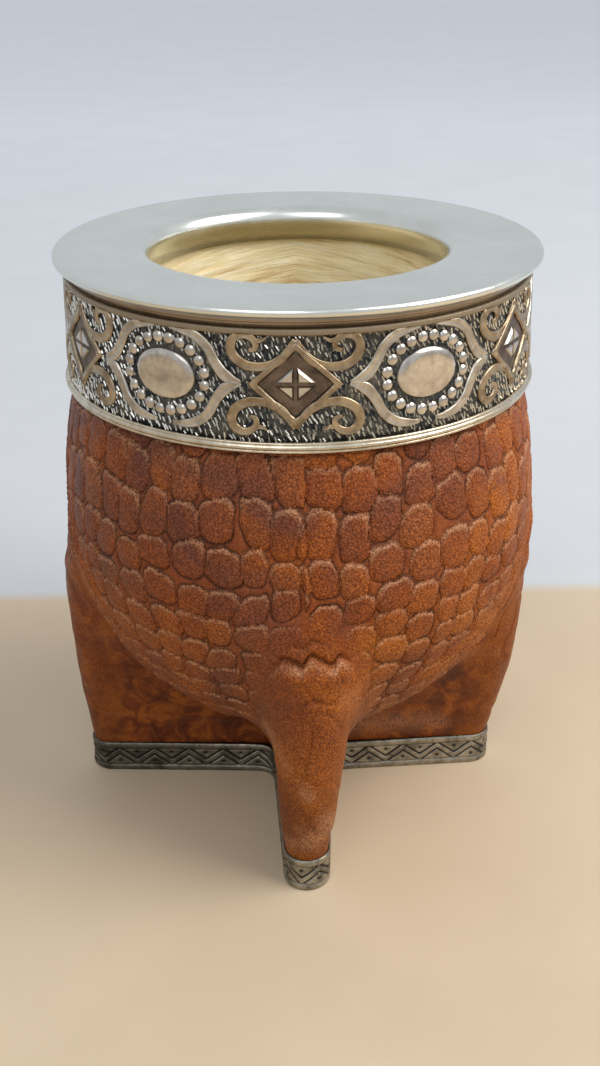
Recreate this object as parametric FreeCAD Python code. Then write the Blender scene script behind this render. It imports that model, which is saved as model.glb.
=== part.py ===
import FreeCAD, Part
import math
import os

# Mate gourd cup: a dried gourd in a leather cover, with a metal lip, an
# engraved collar and four leather fins that stand in one metal foot band.
# Millimetres, +Z up, base on Z = 0. The front of the cup faces -Y.

# Gourd and leather cover
total_height = 118.0
belly_diameter = 94.4
belly_height = 66.0
base_height = 17.7
leather_thickness = 1.6
gourd_wall = 6.0

# Neck under the collar: how far it draws in from the belly, on the radius
neck_inset = 3.9
neck_taper = 0.7

# Engraved collar
collar_height = 21.2
collar_thickness = 1.35
collar_strip_height = 1.0
collar_strip_raise = 0.3

# Two wires round the collar's lower edge
wire_seat_depth = 0.9
wide_wire_height = 1.35
wide_wire_depth = 1.2
thin_wire_height = 0.55
thin_wire_depth = 0.9
wire_gap = 0.06

# Lip flange and throat
lip_overhang = 2.05
lip_thickness = 1.6
neck_ring_height = 1.2
neck_ring_raise = 0.45
neck_step_height = 1.0
neck_step_inset = 0.25
flange_sheet = 1.8
mouth_diameter = 56.4
mouth_rounding = 2.5
throat_depth = 6.5
throat_wall = 1.2
straight_neck_depth = 14.0

# Leather fins: how far each stands out past the belly at its widest point
knee_proud_left = 2.6
knee_proud_right = 0.7
knee_proud_front = 2.0
knee_proud_back = 2.0
knee_height = 42.0
knee_half_width = 7.3
fin_root_extra = 1.7
fin_top_height = 60.0
fin_top_inset = 1.6

# Foot band: how far its outer face ends inside the widest point of each fin
foot_inset_left = 2.5
foot_inset_right = 5.5
foot_inset_front = 3.4
foot_inset_back = 4.2
foot_height = 7.3
foot_half_width = 4.7
foot_root_half_width = 6.6
foot_corner_radius = 5.0
foot_band_thickness = 0.7
foot_rim_raise = 0.35
foot_rim_height = 1.6
sole_recess = 0.8
cover_play = 0.1

CURVE_STEPS = 8
FIN_LEVELS = (0.0, 0.3, 0.62, 1.0)

Vector = FreeCAD.Vector
belly_radius = belly_diameter / 2
mouth_radius = mouth_diameter / 2
throat_outer = mouth_radius + throat_wall
neck_low_radius = belly_radius - neck_inset
neck_top_radius = neck_low_radius - neck_taper
collar_low_radius = neck_low_radius + collar_thickness
collar_top_radius = neck_top_radius + collar_thickness
wire_seat_radius = neck_low_radius + wire_seat_depth
rim_radius = collar_top_radius + lip_overhang
under_lip = total_height - lip_thickness
under_ring = under_lip - neck_ring_height
collar_top = under_ring - neck_step_height
collar_bottom = collar_top - collar_height
gourd_top = total_height - flange_sheet
knee_reach = {
    "right": belly_radius + knee_proud_right,
    "back": belly_radius + knee_proud_back,
    "left": belly_radius + knee_proud_left,
    "front": belly_radius + knee_proud_front,
}
foot_reach = {
    "right": knee_reach["right"] - foot_inset_right,
    "back": knee_reach["back"] - foot_inset_back,
    "left": knee_reach["left"] - foot_inset_left,
    "front": knee_reach["front"] - foot_inset_front,
}
# Fins in turn order, a quarter turn apart from +X.
FINS = ("right", "back", "left", "front")


def at(radius, height):
    return Vector(radius, 0, height)


def line(first, second):
    return Part.makeLine(first, second)


def arc(first, middle, last):
    return Part.Arc(first, middle, last).toShape()


def chain(points):
    return [line(a, b) for a, b in zip(points, points[1:])]


def curve(points):
    spline = Part.BSplineCurve()
    spline.interpolate(points)
    return spline.toShape()


def revolve(edges):
    face = Part.Face(Part.Wire(edges))
    return face.revolve(Vector(0, 0, 0), Vector(0, 0, 1), 360)


def lower_curve(inset):
    """Egg arc from the pole out to the widest point."""
    wide = belly_radius - inset
    deep = belly_height - base_height - inset
    points = []
    for step in range(CURVE_STEPS + 1):
        turn = math.pi / 2 * step / CURVE_STEPS
        points.append(at(wide * math.sin(turn), belly_height - deep * math.cos(turn)))
    return points


def upper_curve(inset, end_radius, end_height):
    """Egg arc from the widest point in to end_radius at end_height."""
    wide = belly_radius - inset
    last_turn = math.acos(end_radius / wide)
    tall = (end_height - belly_height) / math.sin(last_turn)
    points = []
    for step in range(CURVE_STEPS + 1):
        turn = last_turn * step / CURVE_STEPS
        points.append(at(wide * math.cos(turn), belly_height + tall * math.sin(turn)))
    return points


def filled_gourd(inset, top):
    """Solid inside the cover's outer surface, moved in by inset."""
    low = lower_curve(inset)
    high = upper_curve(inset, neck_low_radius - inset, collar_bottom)
    edges = [curve(low), curve(high)]
    edges += chain([high[-1], at(neck_top_radius - inset, top), at(0, top), low[0]])
    return revolve(edges)


def cavity():
    """Space inside the gourd, open at the mouth."""
    inset = leather_thickness + gourd_wall
    low = lower_curve(inset)
    high = upper_curve(inset, throat_outer, total_height - straight_neck_depth)
    edges = [curve(low), curve(high)]
    edges += chain([high[-1], at(throat_outer, gourd_top), at(0, gourd_top), low[0]])
    return revolve(edges)


def gourd_cup():
    return filled_gourd(leather_thickness, gourd_top).cut(cavity())


def lip_flange():
    half_edge = lip_thickness / 2
    round_middle = mouth_rounding * (1 - math.sqrt(0.5))
    ring_radius = collar_top_radius + neck_ring_raise
    step_radius = collar_top_radius - neck_step_inset
    gourd_radius = neck_top_radius - leather_thickness
    throat_end = total_height - throat_depth
    mouth_low = at(mouth_radius, total_height - mouth_rounding)
    mouth_middle = at(mouth_radius + round_middle, total_height - round_middle)
    mouth_high = at(mouth_radius + mouth_rounding, total_height)
    edge_high = at(rim_radius - half_edge, total_height)
    edge_middle = at(rim_radius, total_height - half_edge)
    edge_low = at(rim_radius - half_edge, under_lip)
    edges = [line(at(mouth_radius, throat_end), mouth_low)]
    edges.append(arc(mouth_low, mouth_middle, mouth_high))
    edges.append(line(mouth_high, edge_high))
    edges.append(arc(edge_high, edge_middle, edge_low))
    edges += chain([
        edge_low,
        at(ring_radius, under_lip),
        at(ring_radius, under_ring),
        at(step_radius, under_ring),
        at(step_radius, collar_top),
        at(gourd_radius, collar_top),
        at(gourd_radius, gourd_top),
        at(throat_outer, gourd_top),
        at(throat_outer, throat_end),
        at(mouth_radius, throat_end),
    ])
    return revolve(edges)


def engraved_collar():
    wires_top = collar_bottom + thin_wire_height + wide_wire_height + 3 * wire_gap
    strip_bottom = collar_top - collar_strip_height
    strip_radius = collar_top_radius + collar_strip_raise
    corners = [
        at(neck_low_radius, collar_bottom),
        at(wire_seat_radius, collar_bottom),
        at(wire_seat_radius, wires_top),
        at(collar_low_radius, wires_top),
        at(collar_top_radius, strip_bottom),
        at(strip_radius, strip_bottom),
        at(strip_radius, collar_top),
        at(neck_top_radius, collar_top),
    ]
    return revolve(chain(corners + corners[:1]))


def wire_ring(depth, low, height):
    """Flat-backed wire with a rounded outer face, on the collar's seat."""
    inner = wire_seat_radius
    outer = inner + depth
    shoulder = outer - height / 2
    top = low + height
    edges = [line(at(inner, low), at(shoulder, low))]
    edges.append(arc(at(shoulder, low), at(outer, low + height / 2), at(shoulder, top)))
    edges += chain([at(shoulder, top), at(inner, top), at(inner, low)])
    return revolve(edges)


def fin_section(reach, half_width, root_half_width, height):
    """Closed outline of one fin at one height, pointing along +X."""
    shoulder = reach - half_width
    near = Vector(shoulder, -half_width, height)
    far = Vector(shoulder, half_width, height)
    root_near = Vector(0, -root_half_width, height)
    root_far = Vector(0, root_half_width, height)
    edges = [line(root_near, near), arc(near, Vector(reach, 0, height), far)]
    edges += [line(far, root_far), line(root_far, root_near)]
    return Part.Wire(edges)


def leather_fin(side, quarter):
    """One fin, swelling from the foot band to its widest point at the knee."""
    inset = foot_rim_raise + foot_band_thickness + cover_play
    foot_half = foot_half_width - inset
    foot_end = foot_reach[side] - inset
    sections = []
    for level in FIN_LEVELS:
        swell = math.sin(math.pi / 2 * level)
        height = foot_height + (knee_height - foot_height) * level
        reach = foot_end + (knee_reach[side] - foot_end) * swell
        half = foot_half + (knee_half_width - foot_half) * swell
        sections.append(fin_section(reach, half, half + fin_root_extra, height))
    half = knee_half_width
    top_reach = belly_radius - fin_top_inset
    sections.append(fin_section(top_reach, half, half + fin_root_extra, fin_top_height))
    fin = Part.makeLoft(sections, True, False)
    fin.rotate(Vector(0, 0, 0), Vector(0, 0, 1), 90 * quarter)
    return fin


def foot_block(inset, low, high):
    """Cross-shaped block: the foot band's outer face moved in by inset."""
    half = foot_half_width - inset
    root = foot_root_half_width - inset
    edges = []
    for quarter, side in enumerate(FINS):
        turn = math.radians(90 * quarter)
        along = Vector(math.cos(turn), math.sin(turn), 0)
        across = Vector(-math.sin(turn), math.cos(turn), 0)
        lift = Vector(0, 0, low)
        reach = foot_reach[side] - inset
        shoulder = reach - half
        corner_near = along * root - across * root + lift
        tip_near = along * shoulder - across * half + lift
        tip_far = along * shoulder + across * half + lift
        corner_far = along * root + across * root + lift
        edges.append(line(corner_near, tip_near))
        edges.append(arc(tip_near, along * reach + lift, tip_far))
        edges.append(line(tip_far, corner_far))
    block = Part.Face(Part.Wire(edges)).extrude(Vector(0, 0, high - low))
    corners = []
    for edge in block.Edges:
        upright = edge.BoundBox.ZLength > (high - low) / 2
        inner = math.hypot(edge.CenterOfMass.x, edge.CenterOfMass.y) < 2 * root
        if upright and inner:
            corners.append(edge)
    return block.makeFillet(foot_corner_radius + inset, corners)


def foot_band():
    """One continuous strip round the cross, with a raised rim at both edges."""
    skin = foot_block(foot_rim_raise, 0, foot_height)
    low_rim = foot_block(0, 0, foot_rim_height)
    high_rim = foot_block(0, foot_height - foot_rim_height, foot_height)
    hollow = foot_block(foot_rim_raise + foot_band_thickness, 0, foot_height)
    return skin.fuse([low_rim, high_rim]).cut(hollow).removeSplitter()


def leather_cover():
    """Cover, four fins and the sole they share, round the gourd."""
    fins = [leather_fin(side, quarter) for quarter, side in enumerate(FINS)]
    sole = foot_block(foot_rim_raise + foot_band_thickness, sole_recess, foot_height)
    outside = filled_gourd(0, collar_top).fuse(fins + [sole])
    return outside.cut(filled_gourd(leather_thickness, collar_top))


thin_wire_low = collar_bottom + wire_gap
wide_wire_low = thin_wire_low + thin_wire_height + wire_gap
nodes = {
    "gourd_cup": gourd_cup(),
    "leather_cover": leather_cover(),
    "engraved_collar": engraved_collar(),
    "wide_wire": wire_ring(wide_wire_depth, wide_wire_low, wide_wire_height),
    "thin_wire": wire_ring(thin_wire_depth, thin_wire_low, thin_wire_height),
    "lip_flange": lip_flange(),
    "foot_band": foot_band(),
}

# The fins are not quite alike, so the cup is centred by its outermost points.
box = Part.makeCompound(list(nodes.values())).optimalBoundingBox(False, False)
shift = Vector(-box.Center.x, -box.Center.y, 0)
os.makedirs("parts", exist_ok=True)
for name, shape in nodes.items():
    shape.translate(shift)
    shape.exportStep("parts/" + name + ".step")
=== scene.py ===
import math
import random

import bpy
import numpy as np
from mathutils import Matrix, Vector


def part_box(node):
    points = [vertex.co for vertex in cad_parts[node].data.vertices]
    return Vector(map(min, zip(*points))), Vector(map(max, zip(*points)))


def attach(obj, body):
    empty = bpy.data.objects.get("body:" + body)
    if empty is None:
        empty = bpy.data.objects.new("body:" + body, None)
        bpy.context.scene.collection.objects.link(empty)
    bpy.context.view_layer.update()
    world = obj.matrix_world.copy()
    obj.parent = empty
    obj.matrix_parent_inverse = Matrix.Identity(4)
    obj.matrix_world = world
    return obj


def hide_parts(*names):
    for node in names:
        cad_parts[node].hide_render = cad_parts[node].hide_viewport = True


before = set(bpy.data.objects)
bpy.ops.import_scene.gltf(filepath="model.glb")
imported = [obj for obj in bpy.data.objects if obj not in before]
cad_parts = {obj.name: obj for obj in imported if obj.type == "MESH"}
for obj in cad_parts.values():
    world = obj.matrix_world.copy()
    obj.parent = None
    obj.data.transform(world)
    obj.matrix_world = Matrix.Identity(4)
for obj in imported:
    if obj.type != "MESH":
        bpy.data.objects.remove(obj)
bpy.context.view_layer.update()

MM = 0.001
SEED = 11

# ---------------------------------------------------------------- places from the frame


def span(node):
    """Lowest and highest corner of a CAD node, in millimetres."""
    low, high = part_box(node)
    return Vector(low) / MM, Vector(high) / MM


lip_low, lip_high = span("lip_flange")
collar_low, collar_high = span("engraved_collar")
cover_low, cover_high = span("leather_cover")
foot_low, foot_high = span("foot_band")
wide_low, wide_high = span("wide_wire")
thin_low, thin_high = span("thin_wire")

AXIS_X = (lip_low.x + lip_high.x) / 2
TOP = lip_high.z
RIM_RADIUS = (lip_high.x - lip_low.x) / 2
COLLAR_BOTTOM = collar_low.z
COLLAR_TOP = collar_high.z
WIDE_RADIUS = (wide_high.x - wide_low.x) / 2
THIN_RADIUS = (thin_high.x - thin_low.x) / 2
FOOT_HEIGHT = foot_high.z

# Sizes of the pieces that the boxes don't give, in millimetres
BELLY_RADIUS = 47.2
BELLY_HEIGHT = 66.0
BASE_HEIGHT = 17.7
NECK_RADIUS = 43.3
LEATHER_THICKNESS = 1.6
KNEE_HEIGHT = 42.0
KNEE_HALF_WIDTH = 7.3
FIN_TOP_HEIGHT = 60.0
FIN_ROOT_EXTRA = 1.7
FOOT_HALF_WIDTH = 4.7
FOOT_ROOT_HALF_WIDTH = 6.6
FOOT_RIM = 1.6
FOOT_SHEET = 1.05
LEATHER_INSET = 0.40

# ---------------------------------------------------------------- mesh helpers


def make_object(name, points, faces, smooth=True):
    """Mesh object from points in millimetres."""
    mesh = bpy.data.meshes.new(name)
    points = np.asarray(points, dtype=float) * MM
    mesh.from_pydata(points.tolist(), [], faces)
    mesh.update()
    if smooth:
        mesh.polygons.foreach_set("use_smooth", [True] * len(mesh.polygons))
    made = bpy.data.objects.new(name, mesh)
    bpy.context.scene.collection.objects.link(made)
    return made


def finish_piece(piece, nodes, material):
    """Gives a piece its material, its body and the CAD nodes that it replaces."""
    piece.data.materials.append(material)
    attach(piece, "root")
    if nodes:
        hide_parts(*nodes)
    return piece


def grid_faces(rows, columns, wrap_columns=True, wrap_rows=False, start=0, flip=False):
    """Quads over a rows by columns grid of points."""
    faces = []
    last_row = rows if wrap_rows else rows - 1
    last_column = columns if wrap_columns else columns - 1
    for i in range(last_row):
        below = start + (i % rows) * columns
        above = start + ((i + 1) % rows) * columns
        for j in range(last_column):
            k = (j + 1) % columns
            quad = (below + j, below + k, above + k, above + j)
            faces.append(quad[::-1] if flip else quad)
    return faces


def add_value(piece, name, values):
    """A number for each point of the mesh, for its material to read."""
    layer = piece.data.attributes.new(name, "FLOAT", "POINT")
    layer.data.foreach_set("value", np.asarray(values, dtype=np.float32).ravel())


def around(radius, height, angle):
    """Point at an angle in degrees from the front, positive towards +X."""
    turn = np.radians(angle)
    x = AXIS_X + radius * np.sin(turn)
    return np.stack(np.broadcast_arrays(x, -radius * np.cos(turn), height), axis=-1)


def lathe(name, profile, segments):
    """Closed ring of revolution: the profile is a closed loop of (radius, height)."""
    profile = np.asarray(profile, dtype=float)
    angles = np.arange(segments) * 360.0 / segments
    points = around(profile[:, None, 0], profile[:, None, 1], angles[None, :])
    faces = grid_faces(len(profile), segments, wrap_rows=True)
    return make_object(name, points.reshape(-1, 3), faces)


def smooth_step(low, high, value):
    """From 0 at low to 1 at high, with an easy start and end."""
    t = np.clip((value - low) / (high - low), 0.0, 1.0)
    return t * t * (3 - 2 * t)


def smooth_line(points, count):
    """Catmull-Rom curve through the points, evenly sampled by length."""
    points = np.asarray(points, dtype=float)
    padded = np.vstack([2 * points[0] - points[1], points, 2 * points[-1] - points[-2]])
    fine = []
    for i in range(1, len(padded) - 2):
        t = np.linspace(0, 1, 24, endpoint=False)[:, None]
        a, b, c, d = padded[i - 1], padded[i], padded[i + 1], padded[i + 2]
        fine.append(0.5 * (2 * b + (c - a) * t + (2 * a - 5 * b + 4 * c - d) * t ** 2
                           + (3 * b - a - 3 * c + d) * t ** 3))
    fine = np.vstack(fine + [points[-1:]])
    length = np.concatenate([[0], np.cumsum(np.linalg.norm(np.diff(fine, axis=0), axis=1))])
    wanted = np.linspace(0, length[-1], count)
    return np.stack([np.interp(wanted, length, fine[:, k]) for k in range(fine.shape[1])], axis=1)


def value_noise(coordinates, seed):
    """Smooth noise in [-1, 1] at points with any number of coordinates, one cell a unit."""
    coordinates = np.asarray(coordinates, dtype=float)
    base = np.floor(coordinates).astype(np.int64)
    part = coordinates - base
    part = part * part * (3 - 2 * part)
    dimensions = coordinates.shape[-1]
    total = 0.0
    for corner in range(2 ** dimensions):
        weight = 1.0
        code = np.full(coordinates.shape[:-1], seed * 7919, dtype=np.int64)
        for axis in range(dimensions):
            high = (corner >> axis) & 1
            weight = weight * (part[..., axis] if high else 1 - part[..., axis])
            code = (code * 31 + base[..., axis] + high) * 1103515245 + 12345
            code = code & 0x7FFFFFFF
        total = total + weight * ((code >> 8) % 65536 / 32767.5 - 1)
    return total


def drift(seed, *coordinates):
    """The same noise, from coordinates given one by one."""
    return value_noise(np.stack(np.broadcast_arrays(*coordinates), axis=-1), seed)


# ---------------------------------------------------------------- materials


class Shader:
    """Short way to write a node material."""

    def __init__(self, name):
        self.material = bpy.data.materials.new(name)
        self.material.use_nodes = True
        self.tree = self.material.node_tree
        self.tree.nodes.clear()
        self.output = self.tree.nodes.new("ShaderNodeOutputMaterial")

    def add(self, kind, values=None, **settings):
        made = self.tree.nodes.new("ShaderNode" + kind)
        for key, value in settings.items():
            setattr(made, key, value)
        for key, value in (values or {}).items():
            if isinstance(value, bpy.types.NodeSocket):
                self.tree.links.new(value, made.inputs[key])
            else:
                made.inputs[key].default_value = value
        return made

    def where(self, scale=(1, 1, 1)):
        """Object coordinates in millimetres, stretched by scale."""
        spot = self.add("TexCoord").outputs["Object"]
        stretch = [s / MM for s in scale]
        return self.add("Mapping", {"Vector": spot, "Scale": stretch}).outputs["Vector"]

    def place(self):
        """X, Y and Z in millimetres."""
        parts = self.add("SeparateXYZ", {"Vector": self.where()})
        return [parts.outputs[axis] for axis in "XYZ"]

    def noise(self, spot, scale, detail=4.0, roughness=0.55, distortion=0.0):
        values = {"Vector": spot, "Scale": scale, "Detail": detail, "Roughness": roughness,
                  "Distortion": distortion}
        return self.add("TexNoise", values).outputs["Fac"]

    def ramp(self, value, *stops):
        """Colour ramp from (position, linear colour) stops."""
        made = self.add("ValToRGB", {"Fac": value})
        elements = made.color_ramp.elements
        while len(elements) < len(stops):
            elements.new(0.5)
        for element, (position, colour) in zip(elements, stops):
            element.position = position
            element.color = (*colour, 1.0)
        return made.outputs["Color"]

    def mix(self, factor, first, second, blend="MIX"):
        made = self.add("Mix", data_type="RGBA", blend_type=blend)
        for index, value in ((0, factor), (6, first), (7, second)):
            if isinstance(value, bpy.types.NodeSocket):
                self.tree.links.new(value, made.inputs[index])
            elif index == 0:
                made.inputs[index].default_value = value
            else:
                made.inputs[index].default_value = (*value, 1.0)
        return made.outputs[2]

    def darken(self, colour, share):
        """The colour with red, green and blue times the same share."""
        grey = self.add("CombineColor", {0: share, 1: share, 2: share}).outputs[0]
        return self.mix(1.0, colour, grey, "MULTIPLY")

    def math(self, operation, first, second=0.0, clamp=False, third=0.0):
        made = self.add("Math", {0: first, 1: second, 2: third}, operation=operation, use_clamp=clamp)
        return made.outputs[0]

    def spread(self, value, low, high, new_low, new_high):
        values = {"Value": value, "From Min": low, "From Max": high, "To Min": new_low, "To Max": new_high}
        return self.add("MapRange", values).outputs["Result"]

    def attribute(self, name):
        return self.add("Attribute", attribute_name=name).outputs["Fac"]

    def bump(self, height, distance, strength=1.0, normal=None):
        values = {"Height": height, "Distance": distance, "Strength": strength}
        if normal is not None:
            values["Normal"] = normal
        return self.add("Bump", values).outputs["Normal"]

    def finish(self, **values):
        """Principled surface; the keys are its socket names in lower case with underscores."""
        surface = self.add("BsdfPrincipled")
        sockets = {socket.name.lower().replace(" ", "_"): socket for socket in surface.inputs}
        for key, value in values.items():
            if isinstance(value, bpy.types.NodeSocket):
                self.tree.links.new(value, sockets[key])
            else:
                sockets[key].default_value = value
        self.tree.links.new(surface.outputs["BSDF"], self.output.inputs["Surface"])
        return self.material


def ring_spot(shader, across):
    """Coordinates in rings round the cup's axis: angle, radius and height."""
    spot = shader.add("TexCoord").outputs["Object"]
    parts = shader.add("SeparateXYZ", {"Vector": spot})
    x = shader.math("SUBTRACT", parts.outputs["X"], AXIS_X * MM)
    squares = shader.math("ADD", shader.math("MULTIPLY", x, x),
                          shader.math("MULTIPLY", parts.outputs["Y"], parts.outputs["Y"]))
    radius = shader.math("SQRT", squares)
    angle = shader.math("ARCTAN2", x, parts.outputs["Y"])
    values = {"X": angle,
              "Y": shader.math("MULTIPLY", radius, across / MM),
              "Z": shader.math("MULTIPLY", parts.outputs["Z"], across / MM)}
    return shader.add("CombineXYZ", values).outputs["Vector"]


def lip_metal():
    """Spun sheet: fine rings and smudges, with a painted brown reflection under the overhang and on the neck
    ring.
    """
    shader = Shader("spun_nickel_silver")
    rings = ring_spot(shader, 9.0)
    fine = shader.noise(rings, 1.0, 3.0, 0.6)
    smudge = shader.noise(shader.where(), 0.05, 5.0, 0.6, 0.6)
    x, y, z = shader.place()
    above = shader.spread(z, TOP - 2.2, TOP - 1.3, 0.0, 1.0)
    x = shader.math("SUBTRACT", x, AXIS_X)
    across = shader.math("MULTIPLY", x, x)
    reach = shader.math("SQRT", shader.math("MULTIPLY_ADD", y, y, third=across))
    in_throat = shader.spread(reach, 38.0, 40.0, 1.0, 0.0)
    above = shader.math("MAXIMUM", above, in_throat)
    colour = shader.ramp(smudge, (0.3, (0.720, 0.730, 0.670)), (0.7, (0.830, 0.845, 0.790)))
    # Painted reflection: below the lip's top the metal turns brown, standing in for the brown surroundings
    # that it reflects.
    under = shader.ramp(smudge, (0.3, (0.230, 0.175, 0.130)), (0.7, (0.400, 0.320, 0.240)))
    colour = shader.mix(above, under, colour)
    rough = shader.math("ADD", shader.spread(fine, 0.3, 0.7, 0.16, 0.24),
                        shader.spread(smudge, 0.35, 0.75, 0.0, 0.10))
    normal = shader.bump(fine, 0.00003, 0.35)
    return shader.finish(base_color=colour, metallic=1.0, roughness=rough, normal=normal)


def bright_metal(name, dark, light, rough_low, rough_high, grain, hollow=None, shaded=False):
    """Nickel silver, tarnished in patches and in the hollows that the mesh gives. With shaded set,
    painted shade darkens the metal towards -X, the side away from the key light."""
    shader = Shader(name)
    tarnish = shader.noise(shader.where(), 0.35, 6.0, 0.65, 0.4)
    scratch = shader.noise(shader.where((1, 1, 0.25)), grain, 4.0, 0.6)
    colour = shader.ramp(tarnish, (0.32, dark), (0.62, light))
    # Painted shade: when shaded is set, the colour darkens towards -X.
    if shaded:
        colour = shader.darken(colour, shader.spread(shader.place()[0], -30.0, 5.0, 0.42, 1.0))
    if hollow:
        share = shader.spread(shader.attribute("hollow"), 0.25, 0.85, 0.0, 0.92)
        colour = shader.mix(share, colour, hollow)
    rough = shader.spread(tarnish, 0.3, 0.7, rough_high, rough_low)
    normal = shader.bump(scratch, 0.00004, 0.5)
    return shader.finish(base_color=colour, metallic=1.0, roughness=rough, normal=normal)


def dark_ground():
    """Oxidised metal between the ornaments, with a painted bronze reflection on the strip along the collar's
    top.
    """
    shader = Shader("oxidised_ground")
    fleck = shader.noise(shader.where((1, 1, 0.45)), 2.2, 5.0, 0.7, 0.8)
    cloud = shader.noise(shader.where(), 0.25, 3.0)
    colour = shader.ramp(fleck, (0.45, (0.008, 0.014, 0.022)), (0.60, (0.10, 0.105, 0.10)),
                         (0.72, (0.42, 0.41, 0.37)))
    colour = shader.mix(shader.spread(cloud, 0.4, 0.7, 0.0, 0.45), colour, (0.20, 0.18, 0.15))
    # Painted reflection: a lighter bronze tone on the strip under the lip's overhang, where the lip shades
    # it.
    strip = shader.spread(shader.place()[2], COLLAR_TOP - 1.5, COLLAR_TOP - 0.9, 0.0, 0.85)
    colour = shader.mix(strip, colour, (0.36, 0.29, 0.20))
    rough = shader.spread(fleck, 0.4, 0.7, 0.55, 0.32)
    normal = shader.bump(fleck, 0.00012, 0.8)
    return shader.finish(base_color=colour, metallic=0.85, roughness=rough, normal=normal)


def leather():
    """Tan leather. Its mesh gives the distance in from each scale's border and where it is smooth."""
    shader = Shader("embossed_leather")
    spot = shader.where()
    x, _, z = shader.place()
    border = shader.attribute("border")
    depth = shader.attribute("depth")
    tone = shader.attribute("tone")
    crest = shader.attribute("crest")
    smooth = shader.attribute("smooth")
    cloud = shader.noise(spot, 0.045, 4.0, 0.6, 0.8)
    # Painted light and sheen: the colour drifts towards orange on the lit +X side and lower down, and towards
    # plum on the upper -X side.
    side = shader.math("MULTIPLY", x, 0.0030)
    height = shader.math("MULTIPLY", z, -0.0030)
    cloud = shader.math("ADD", cloud, shader.math("ADD", side, shader.math("ADD", height, 0.17)))
    mottle = shader.noise(spot, 0.28, 6.0, 0.65, 0.5)
    colour = shader.ramp(cloud, (0.28, (0.165, 0.046, 0.022)), (0.46, (0.285, 0.066, 0.009)),
                         (0.68, (0.400, 0.105, 0.009)))
    colour = shader.darken(colour, shader.spread(z, 14.0, 66.0, 0.62, 1.0))
    shade = shader.ramp(tone, (0.0, (0.84, 0.80, 0.80)), (0.55, (1.0, 1.0, 1.0)),
                        (1.0, (1.18, 1.28, 1.10)))
    colour = shader.mix(1.0, colour, shade, "MULTIPLY")
    cells = shader.add("TexVoronoi", {"Vector": spot, "Scale": 2.2, "Randomness": 1.0})
    pebbles = cells.outputs["Distance"]
    pore = shader.noise(shader.where((1, 1, 0.8)), 2.9, 2.5, 0.62)
    mixed = shader.math("SUBTRACT", pore, shader.spread(pebbles, 0.1, 0.7, -0.10, 0.10))
    # Painted highlights and shade: the bright bluish end lights the pebble tops and the dark end darkens the
    # pits between them.
    grain = shader.ramp(mixed, (0.36, (0.50, 0.44, 0.42)), (0.50, (0.98, 0.98, 0.98)),
                        (0.66, (1.42, 1.60, 1.80)))
    inside = shader.spread(border, -0.10, 0.20, 0.62, 1.0)
    coarse = shader.math("MULTIPLY", inside, shader.spread(smooth, 0.0, 1.0, 0.90, 0.35))
    colour = shader.mix(coarse, colour, grain, "MULTIPLY")
    network = shader.math("MULTIPLY", shader.spread(border, -0.35, 0.05, 0.35, 0.0),
                          shader.spread(smooth, 0.0, 0.6, 1.0, 0.0))
    colour = shader.mix(network, colour, (0.200, 0.042, 0.009))
    marble = shader.noise(spot, 0.21, 6.0, 0.66, 0.8)
    veins = shader.ramp(marble, (0.38, (0.055, 0.009, 0.003)), (0.50, (0.150, 0.030, 0.005)),
                        (0.62, (0.290, 0.078, 0.008)))
    colour = shader.mix(shader.math("MULTIPLY", smooth, 0.85), colour, veins)
    # Wear and painted highlight: the crest value lightens the top edges of the scales, the knee tops and the
    # fins' ripples.
    wear_and_highlight = shader.math("MULTIPLY", crest, shader.spread(pore, 0.38, 0.60, 0.15, 0.85))
    colour = shader.mix(wear_and_highlight, colour, (0.56, 0.30, 0.16))
    # Painted shade: dark lines along the grooves between the scales and along the creases, as strong as the
    # depth value asks.
    ragged = shader.math("ADD", border, shader.spread(pore, 0.3, 0.7, -0.09, 0.09))
    line = shader.spread(shader.math("ABSOLUTE", ragged), 0.04, 0.21, 1.0, 0.0)
    crack = shader.math("MULTIPLY", line, depth)
    colour = shader.mix(shader.math("MULTIPLY", crack, 0.85, True), colour, (0.030, 0.008, 0.004))
    rough = shader.spread(mottle, 0.3, 0.7, 0.40, 0.54)
    rough = shader.math("SUBTRACT", rough, shader.math("MULTIPLY", smooth, 0.08))
    bumps = shader.math("MULTIPLY", shader.math("SUBTRACT", 1.0, pebbles), coarse)
    fine = shader.bump(bumps, 0.00028, 0.85)
    fine = shader.bump(pore, 0.00010, 0.40, fine)
    normal = shader.bump(shader.math("SUBTRACT", 1.0, crack), 0.00035, 0.8, fine)
    return shader.finish(base_color=colour, roughness=rough, normal=normal, specular_ior_level=0.24)


SCRAPE_SLANT = 0.16


def gourd_material():
    """Dry pale gourd with scrape lines that climb to the middle of each side and fall away again."""
    shader = Shader("scraped_gourd")
    x, y, z = shader.place()
    outward = shader.math("ABSOLUTE", shader.math("SUBTRACT", x, AXIS_X))
    values = {"X": shader.math("MULTIPLY", x, 0.07),
              "Y": shader.math("MULTIPLY", y, 0.07),
              "Z": shader.math("ADD", z, shader.math("MULTIPLY", outward, SCRAPE_SLANT))}
    lines = shader.add("CombineXYZ", values).outputs["Vector"]
    streak = shader.noise(lines, 1.1, 6.0, 0.68, 0.5)
    blotch = shader.noise(shader.where(), 0.16, 4.0, 0.6, 0.5)
    colour = shader.ramp(streak, (0.32, (0.66, 0.47, 0.22)), (0.46, (0.92, 0.79, 0.48)),
                         (0.64, (0.95, 0.87, 0.63)))
    spots = shader.ramp(blotch, (0.35, (0.88, 0.82, 0.72)), (0.6, (1, 1, 1)))
    colour = shader.mix(0.6, colour, spots, "MULTIPLY")
    normal = shader.bump(streak, 0.0005, 0.8)
    return shader.finish(base_color=colour, roughness=0.72, normal=normal)


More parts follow.
